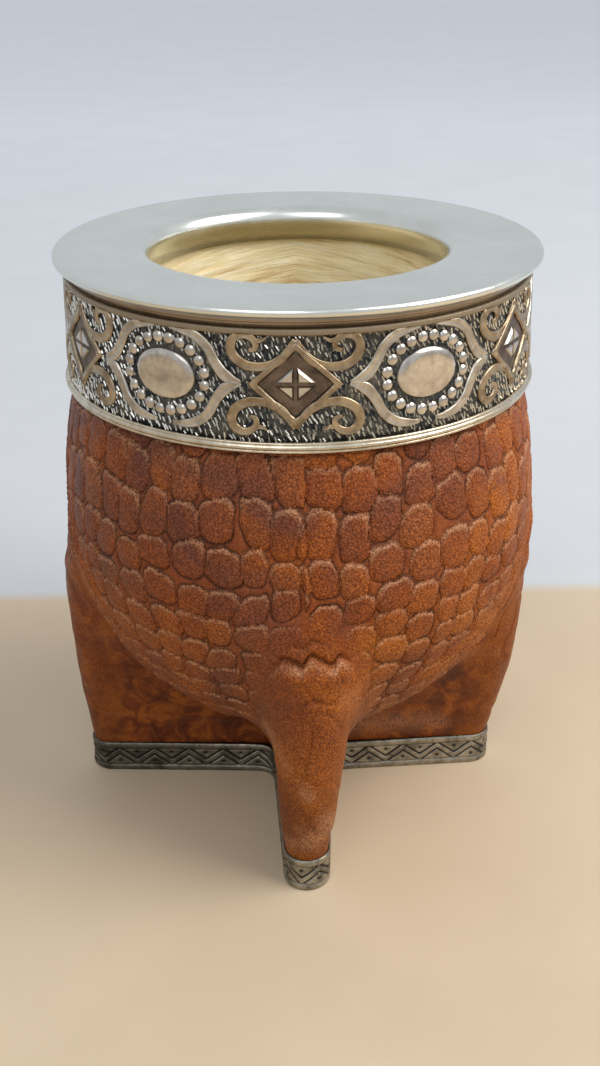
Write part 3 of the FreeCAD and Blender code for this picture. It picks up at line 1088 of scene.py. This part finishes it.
def strap(pile, line, widths, height, centre, samples=60):
    """Raised strap along a flat line with changing width."""
    line = smooth_line(line, samples)
    tangent = np.gradient(line, axis=0)
    tangent /= np.linalg.norm(tangent, axis=1, keepdims=True)
    side = np.stack([-tangent[:, 1], tangent[:, 0]], axis=1)
    share = np.linspace(0, 1, samples)
    wide = np.interp(share, np.linspace(0, 1, len(widths)), widths)
    rise = height * np.clip(wide / max(widths) * 1.6, 0.35, 1)
    rows = []
    for across, lift in STRAP_SECTION:
        flat = line + side * (wide * across / 2)[:, None]
        rows.append(np.column_stack([flat, np.where(lift < 0, lift, lift * rise)]))
    section = len(rows)
    points = np.stack(rows, axis=1).reshape(-1, 3)
    faces = grid_faces(samples, section, wrap_columns=True, flip=True)
    faces.append(tuple(range(section)))
    faces.append(tuple(range((samples - 1) * section, samples * section))[::-1])
    pile.put(wrap(points, centre), faces)


def dome(pile, along, up, wide, tall, height, centre, rings, sides, power):
    """Rounded boss on an oval foot."""
    points = [(along, up, height)]
    shares = [math.sin(math.pi / 2 * (ring + 1) / rings) for ring in range(rings)]
    for share in shares:
        lift = height * (1 - share ** power)
        for side in range(sides):
            turn = 2 * math.pi * side / sides
            points.append((along + wide * share * math.cos(turn), up + tall * share * math.sin(turn), lift))
    for side in range(sides):
        turn = 2 * math.pi * side / sides
        points.append((along + wide * math.cos(turn), up + tall * math.sin(turn), -SUNK))
    faces = [(0, 1 + side, 1 + (side + 1) % sides) for side in range(sides)]
    for ring in range(rings):
        first = 1 + ring * sides
        for side in range(sides):
            k = (side + 1) % sides
            faces.append((first + side, first + sides + side, first + sides + k, first + k))
    last = 1 + rings * sides
    faces.append(tuple(range(last + sides - 1, last - 1, -1)))
    pile.put(wrap(points, centre), faces)


# One quarter of each ornament, along and up from its middle, with the widths along each line
SCROLL = ((-0.15, 7.6), (-1.2, 5.6), (-2.5, 4.2), (-4.1, 3.3), (-6.0, 2.95), (-8.0, 3.15), (-9.8, 4.2),
          (-10.6, 5.7),
          (-10.3, 7.3), (-9.0, 8.2), (-7.5, 8.0), (-6.5, 7.0), (-6.6, 5.9), (-7.7, 5.6))
SCROLL_WIDTHS = (0.7, 1.3, 1.5, 1.6, 1.6, 1.7, 1.7, 1.7, 1.6, 1.5, 1.3, 1.1, 0.6)
BUD = ((-7.2, 7.7), (-5.8, 7.3), (-4.6, 7.9))
FRAME = ((14.0, 0.0), (11.4, 1.15), (9.7, 3.2), (8.3, 5.7), (6.2, 7.4), (3.6, 8.1), (1.6, 8.2))
FRAME_WIDTHS = (0.8, 2.1, 1.8, 1.75, 1.8, 1.5, 0.7)
BEADS = 20
BEAD_ROW = (7.75, 6.3)


def mirrored(line, across, up):
    """The line in another quarter."""
    return [(x * across, y * up) for x, y in line]


def diamond_ring(pile, centre):
    """Raised frame of a diamond, with a hollow along its middle."""
    outer = (7.9, 7.2)
    inner = (6.2, 5.7)
    profile = ((-0.06, -SUNK), (-0.04, 0.06), (0.10, 0.44), (0.24, 0.64), (0.42, 0.54), (0.62, 0.54),
               (0.82, 0.64), (0.95, 0.44), (1.05, 0.06), (1.08, -SUNK))
    tips = ((1, 0), (0, 1), (-1, 0), (0, -1))
    steps = 10
    points = []
    for corner in range(4):
        first, second = tips[corner], tips[(corner + 1) % 4]
        for step in range(steps):
            t = step / steps
            x = first[0] * (1 - t) + second[0] * t
            y = first[1] * (1 - t) + second[1] * t
            for share, lift in profile:
                wide = inner[0] + (outer[0] - inner[0]) * share
                tall = inner[1] + (outer[1] - inner[1]) * share
                points.append((x * wide, y * tall, lift))
    pile.put(wrap(points, centre), grid_faces(4 * steps, len(profile), wrap_rows=True))


def petal(pile, centre, across, up):
    """One triangular facet of the inner diamond."""
    gap = 0.26
    foot = ((gap, gap), (3.5, gap), (gap, 3.0))
    crown = ((gap + 0.3, gap + 0.25), (2.5, gap + 0.25), (gap + 0.3, 2.1))
    points = [(x * across, y * up, 0.05) for x, y in foot] + [(x * across, y * up, 0.50) for x, y in crown]
    faces = [(2, 1, 0), (3, 4, 5), (0, 1, 4, 3), (1, 2, 5, 4), (2, 0, 3, 5)]
    if across * up < 0:
        faces = [face[::-1] for face in faces]
    pile.put(wrap(points, centre), faces)


def plate(pile, centre, wide, tall, lift):
    """Flat diamond plate, bent round the collar."""
    steps = 9
    points = []
    for level in (lift, -SUNK):
        for i in range(steps):
            x = -wide + 2 * wide * i / (steps - 1)
            high = tall * (1 - abs(x) / wide) + 0.01
            points += [(x, -high, level), (x, high, level)]
    faces = []
    for i in range(steps - 1):
        a = 2 * i
        faces.append((a, a + 2, a + 3, a + 1))
        b = a + 2 * steps
        faces.append((b + 1, b + 3, b + 2, b))
        faces.append((a, b, b + 2, a + 2))
        faces.append((a + 1, a + 3, b + 3, b + 1))
    faces.append((0, 1, 2 * steps + 1, 2 * steps))
    end = 2 * (steps - 1)
    faces.append((end + 1, end, end + 2 * steps, end + 1 + 2 * steps))
    pile.put(wrap(points, centre), faces)


def bead_turns():
    """Turns around the oval at which the beads lie at equal steps."""
    turn = np.linspace(0, 2 * math.pi, 721)
    step = np.hypot(BEAD_ROW[0] * np.sin(turn[1:]), BEAD_ROW[1] * np.cos(turn[1:]))
    length = np.concatenate([[0], np.cumsum(step)])
    return np.interp((np.arange(BEADS) + 0.5) / BEADS * length[-1], length, turn)


QUARTERS = ((1, 1), (1, -1), (-1, 1), (-1, -1))


def build_ornament():
    """Diamonds with scrolls, and between them ovals in a ring of beads and a pointed frame."""
    straps, frames, beads, ovals, plates, petals = (Pile() for _ in range(6))
    pitch = 360 / REPEATS
    for repeat in range(REPEATS):
        centre = ORNAMENT_TURN + repeat * pitch
        diamond_ring(straps, centre)
        plate(plates, centre, 6.1, 5.3, 0.10)
        for across, up in QUARTERS:
            strap(straps, mirrored(SCROLL, across, up), SCROLL_WIDTHS, 0.55, centre)
            strap(straps, mirrored(BUD, across, up), (0.9, 0.8, 0.3), 0.5, centre, 16)
            petal(petals, centre, across, up)
        centre += pitch / 2
        for across, up in QUARTERS:
            strap(frames, mirrored(FRAME, across, up), FRAME_WIDTHS, 0.55, centre)
        dome(ovals, 0, 0, 6.05, 4.4, 0.60, centre, 14, 72, 9.0)
        for turn in bead_turns():
            size = 1.10 + random.uniform(-0.05, 0.04)
            along, up = BEAD_ROW[0] * math.cos(turn), BEAD_ROW[1] * math.sin(turn)
            dome(beads, along, up, size, size, 0.52, centre, 6, 14, 3.2)
    straps.make("collar_straps", METAL_STRAP)
    frames.make("collar_frames", METAL_FRAME)
    beads.make("collar_beads", METAL_BEAD)
    ovals.make("collar_ovals", METAL_BEAD)
    plates.make("collar_plates", METAL_FIELD, smooth=False)
    petals.make("collar_petals", METAL_BEAD, smooth=False)


def covered_ground(along, up):
    """True inside a diamond's window or an oval, where there are no strokes."""
    pitch = 2 * math.pi * BAND_RADIUS / REPEATS
    start = math.radians(ORNAMENT_TURN) * BAND_RADIUS
    from_diamond = (along - start + pitch / 2) % pitch - pitch / 2
    from_oval = (along - start) % pitch - pitch / 2
    in_diamond = abs(from_diamond) / 7.4 + abs(up) / 6.8 < 1
    return in_diamond or (from_oval / 6.6) ** 2 + (up / 5.0) ** 2 < 1


STROKE_ROWS = 14
STROKE_COLUMNS = 330
STROKE_LOW = -9.4
STROKE_SPAN = 18.6


def stroke(pile, along, up, length, lean, wide, lift):
    """One chased stroke: a long facet with two pointed ends."""
    tip = (math.sin(lean) * length, math.cos(lean) * length)
    side = (math.cos(lean) * wide, -math.sin(lean) * wide)
    foot = -0.1
    points = []
    for x, y, z in ((-1.0, 0, foot), (-0.4, 1, foot), (0.5, 1, foot), (1.0, 0, foot), (0.5, -1, foot),
                    (-0.4, -1, foot), (-0.7, 0, lift), (0.75, 0, lift)):
        points.append((along + tip[0] * x + side[0] * y, up + tip[1] * x + side[1] * y, z))
    faces = [(0, 1, 6), (1, 2, 7, 6), (2, 3, 7), (3, 4, 7), (4, 5, 6, 7), (5, 0, 6), (5, 4, 3, 2, 1, 0)]
    pile.put(wrap(points, 0), faces)


def build_strokes():
    """Short chased strokes all over the collar's ground."""
    pile = Pile()
    dice = random.Random(SEED)
    girth = 2 * math.pi * BAND_RADIUS
    for row in range(STROKE_ROWS):
        for column in range(STROKE_COLUMNS):
            place = column + dice.uniform(-0.35, 0.35) + 0.5 * (row % 2)
            along = place / STROKE_COLUMNS * girth
            up = STROKE_LOW + (row + dice.uniform(-0.4, 0.4)) * STROKE_SPAN / (STROKE_ROWS - 1)
            length = dice.uniform(0.55, 0.95)
            if covered_ground(along, up):
                continue
            lean_angle = math.radians(dice.gauss(-24, 10))
            wide = dice.uniform(0.20, 0.30)
            lift = dice.uniform(0.12, 0.20)
            stroke(pile, along, up, length, lean_angle, wide, lift)
    pile.make("collar_strokes", METAL_STROKE, smooth=False)


def build_collar_ground():
    """The collar's ground, from the wires up to the strip under the lip."""
    low_radius = collar_radius(FIELD_LOW)
    high_radius = collar_radius(FIELD_HIGH)
    strip = high_radius + 0.45
    loop = [(NECK_RADIUS, COLLAR_BOTTOM), (low_radius - 0.4, COLLAR_BOTTOM)]
    loop += [(low_radius - 0.4, FIELD_LOW), (low_radius, FIELD_LOW + 0.02)]
    for step in range(1, 12):
        height = FIELD_LOW + (FIELD_HIGH - FIELD_LOW) * step / 12
        loop.append((collar_radius(height), height))
    loop += [(high_radius, FIELD_HIGH - 0.05), (strip - 0.1, FIELD_HIGH), (strip, FIELD_HIGH + 0.15)]
    loop += [(strip, COLLAR_TOP - 0.15), (strip - 0.1, COLLAR_TOP), (NECK_RADIUS - 0.7, COLLAR_TOP)]
    piece = lathe("collar_ground", loop, 240)
    finish_piece(piece, ["engraved_collar"], GROUND)


# ---------------------------------------------------------------- foot band

FOOT_STEP = 0.27
FOOT_ROWS = 38
ZIGZAG_PERIOD = 7.8


ARC_POINTS = 40
LINE_POINTS = 80
SOFTENING_ROUNDS = 70


def foot_corners():
    """Closed outline of the cross, anticlockwise from the right arm, with sharp inner corners."""
    half = FOOT_HALF_WIDTH
    root = FOOT_ROOT_HALF_WIDTH
    points = []
    for index, side in enumerate(("right", "back", "left", "front")):
        turn = math.radians(90 * index)
        along = np.array([math.cos(turn), math.sin(turn)])
        across = np.array([-math.sin(turn), math.cos(turn)])
        shoulder = FIN_REACH[side][0] - half
        near = (along * root - across * root, along * shoulder - across * half)
        far = (along * shoulder + across * half, along * root + across * root)
        points += [near[0] + (near[1] - near[0]) * step / LINE_POINTS for step in range(LINE_POINTS)]
        for step in range(ARC_POINTS):
            bend = turn - math.pi / 2 + math.pi * step / ARC_POINTS
            points.append(along * shoulder + half * np.array([math.cos(bend), math.sin(bend)]))
        points += [far[0] + (far[1] - far[0]) * step / LINE_POINTS for step in range(LINE_POINTS)]
    return np.array(points)


def foot_path():
    """The band's outline with soft inner corners: points, outward directions, length along, total."""
    points = foot_corners()
    for _ in range(SOFTENING_ROUNDS):
        inner = np.hypot(points[:, 0], points[:, 1])
        weight = (smooth_step(17, 9, inner) * 0.5)[:, None]
        average = (np.roll(points, 1, axis=0) + np.roll(points, -1, axis=0)) / 2
        points = points + (average - points) * weight
    closed = np.vstack([points, points[:1]])
    length = np.concatenate([[0], np.cumsum(np.linalg.norm(np.diff(closed, axis=0), axis=1))])
    samples = int(length[-1] / FOOT_STEP)
    wanted = np.linspace(0, length[-1], samples, endpoint=False)
    path = np.stack([np.interp(wanted, length, closed[:, k]) for k in range(2)], axis=1)
    tangent = np.roll(path, -1, axis=0) - np.roll(path, 1, axis=0)
    tangent /= np.linalg.norm(tangent, axis=1, keepdims=True)
    outward = np.stack([tangent[:, 1], -tangent[:, 0]], axis=1)
    return path, outward, wanted, length[-1]


def zigzag_relief(along, up, total):
    """Height of the band's pressed ornament, from 0 to 1: a raised zigzag between engraved lines,
    with a pit in each triangle beside it."""
    low, high = FOOT_RIM, FOOT_HEIGHT - FOOT_RIM
    tall = high - low
    climb = 0.72 * tall
    period = total / round(total / ZIGZAG_PERIOD)
    phase = along / period % 1.0
    wave = np.abs(phase - 0.5) * 2
    slope = climb * 2 / period
    away = np.abs(up - low - 0.14 * tall - climb * wave) / math.sqrt(1 + slope ** 2)
    band = 1 - smooth_step(0.36, 0.52, away)
    score = 0.45 * np.exp(-(away / 0.12) ** 2)
    fill = 0.85 * smooth_step(0.78, 0.98, away)
    from_valley = (phase - 0.5) * period
    from_peak = ((phase + 0.5) % 1.0 - 0.5) * period
    pit = np.exp(-(from_valley ** 2 + (up - high + 0.22 * tall) ** 2) / 0.20)
    pit = pit + np.exp(-(from_peak ** 2 + (up - low - 0.22 * tall) ** 2) / 0.20)
    inside = smooth_step(low - 0.05, low + 0.20, up) * (1 - smooth_step(high - 0.20, high + 0.05, up))
    return np.clip(band - score + fill - 0.9 * pit, 0, 1) * inside


def rim_relief(heights, middle):
    """Rounded rim of the band about one height, from 0 to 1."""
    return np.sqrt(np.clip(1 - ((heights - middle) / (FOOT_RIM * 0.52)) ** 2, 0, 1))


def build_foot_band():
    """Pressed metal band round the foot, with a rounded rim above and below its zigzag."""
    path, outward, along, total = foot_path()
    heights = np.linspace(0, FOOT_HEIGHT, FOOT_ROWS)
    half_rim = FOOT_RIM * 0.5
    rims = np.maximum(rim_relief(heights, half_rim), rim_relief(heights, FOOT_HEIGHT - half_rim))
    rims = rims[:, None] * np.ones_like(along)[None, :]
    pressed = zigzag_relief(along[None, :], heights[:, None], total)
    uneven = 0.03 * drift(77, along[None, :] * 0.7, heights[:, None] * 0.8)
    lift = np.maximum(rims * 0.42, pressed * 0.34) - 0.45 + uneven
    outer_heights = np.broadcast_to(heights[:, None, None], (FOOT_ROWS, len(path), 1))
    outer = np.concatenate([path[None] + outward[None] * lift[..., None], outer_heights], axis=-1)
    inner_path = path - outward * FOOT_SHEET
    inner_heights = (FOOT_HEIGHT, FOOT_HEIGHT / 2, 0)
    inner = np.stack([np.column_stack([inner_path, np.full(len(path), h)]) for h in inner_heights])
    points = np.concatenate([outer, inner]).reshape(-1, 3)
    points[:, 0] += AXIS_X
    rows = FOOT_ROWS + len(inner_heights)
    band = make_object("foot_band_strip", points, grid_faces(rows, len(path), wrap_rows=True))
    hollow = np.concatenate([1 - np.maximum(rims, pressed).reshape(-1), np.ones(inner.size // 3)])
    add_value(band, "hollow", hollow)
    return finish_piece(band, ["foot_band"], METAL_FOOT)


def build_sole():
    """Plain leather sole inside the band, seen only from below."""
    path, outward = foot_path()[:2]
    inner = path[::6] - outward[::6] * (FOOT_SHEET + 0.02)
    count = len(inner)
    low = np.column_stack([inner, np.full(count, 0.8)])
    high = np.column_stack([inner, np.full(count, FOOT_HEIGHT - 0.4)])
    points = np.vstack([low, high])
    points[:, 0] += AXIS_X
    faces = [(j, (j + 1) % count, count + (j + 1) % count, count + j) for j in range(count)]
    faces.append(tuple(range(count - 1, -1, -1)))
    faces.append(tuple(range(count, 2 * count)))
    sole = make_object("leather_sole", points, faces, smooth=False)
    nothing = np.zeros(0)
    add_leather_values(sole, nothing, nothing, nothing, nothing, nothing, 2 * count)
    return finish_piece(sole, ["leather_cover"], LEATHER)


# ---------------------------------------------------------------- build

random.seed(SEED)
build_belly()
for number, fin_side in enumerate(FIN_REACH):
    build_fin(fin_side, 20 + 10 * number)
build_lip()
build_wires()
build_ornament()
build_strokes()
build_collar_ground()
build_foot_band()
build_sole()
build_gourd()

# ---------------------------------------------------------------- stage

# The camera's place and its lens in millimetres, its angles in degrees; the sensor is
# measured along the picture's longer side
CAMERA_DISTANCE = 244.2
CAMERA_HEIGHT = 176.4
CAMERA_PITCH = 26.18
CAMERA_TURN = 1.2
CAMERA_ROLL = -0.46
SENSOR = 36
LENS = 43.7572

# How far behind the axis the floor turns from tan to blue-grey
FLOOR_EDGE = 77.0


def floor_material():
    """Plain floor: pale warm tan under and before the cup, pale blue-grey behind it."""
    shader = Shader("pale_floor")
    y = shader.place()[1]
    behind = shader.spread(y, FLOOR_EDGE - 3, FLOOR_EDGE + 3, 0.0, 1.0)
    speck = shader.noise(shader.where(), 0.02, 3.0)
    near = shader.ramp(speck, (0.4, (0.60, 0.475, 0.325)), (0.6, (0.63, 0.50, 0.345)))
    far = shader.ramp(speck, (0.4, (0.84, 0.865, 0.89)), (0.6, (0.86, 0.885, 0.91)))
    # Painted shade: the blue-grey part is darker near the cup and lighter far off.
    far = shader.darken(far, shader.spread(y, 90.0, 900.0, 0.70, 1.0))
    colour = shader.mix(behind, near, far)
    return shader.finish(base_color=colour, roughness=0.55)


def build_stage():
    """One flat floor that reaches to the horizon."""
    side, front, back = 4000, 1500, 5000
    corners = [(-side, -front, 0), (side, -front, 0), (side, back, 0), (-side, back, 0)]
    floor = make_object("floor", corners, [(0, 1, 2, 3)], False)
    floor.data.materials.append(floor_material())


def area_light(name, place, target, size, power, colour):
    data = bpy.data.lights.new(name, "AREA")
    data.shape = "RECTANGLE"
    data.size, data.size_y = size
    data.energy = power
    data.color = colour
    lamp = bpy.data.objects.new(name, data)
    bpy.context.scene.collection.objects.link(lamp)
    lamp.location = place
    lamp.rotation_euler = (Vector(target) - Vector(place)).to_track_quat("-Z", "Y").to_euler()
    return lamp


def build_lights():
    """Soft light all round, a warm key from the right and a weak fill from the left."""
    world = bpy.data.worlds.new("studio")
    bpy.context.scene.world = world
    world.use_nodes = True
    background = world.node_tree.nodes["Background"]
    background.inputs["Color"].default_value = (0.80, 0.84, 0.90, 1)
    background.inputs["Strength"].default_value = 0.75
    middle = (0, 0, 0.06)
    area_light("key", (0.60, -0.18, 0.66), middle, (0.6, 0.6), 6.4, (1.0, 0.96, 0.91))
    area_light("fill", (-0.25, -0.75, 0.80), middle, (0.6, 0.6), 2.2, (0.95, 0.97, 1.0))


def build_camera():
    """Camera in front of the cup and above it, looking down at it."""
    data = bpy.data.cameras.new("camera")
    data.sensor_width = SENSOR
    data.lens = LENS
    data.clip_start = 0.01
    data.clip_end = 20
    camera = bpy.data.objects.new("camera", data)
    bpy.context.scene.collection.objects.link(camera)
    bpy.context.scene.camera = camera
    turn = math.radians(CAMERA_TURN)
    away = CAMERA_DISTANCE
    camera.location = Vector((AXIS_X - away * math.sin(turn), -away * math.cos(turn), CAMERA_HEIGHT)) * MM
    look = (Matrix.Rotation(-turn, 4, "Z") @ Matrix.Rotation(math.radians(90 - CAMERA_PITCH), 4, "X")
            @ Matrix.Rotation(math.radians(CAMERA_ROLL), 4, "Z"))
    camera.rotation_euler = look.to_euler()


build_stage()
build_lights()
build_camera()
bpy.context.scene.view_settings.view_transform = "Standard"
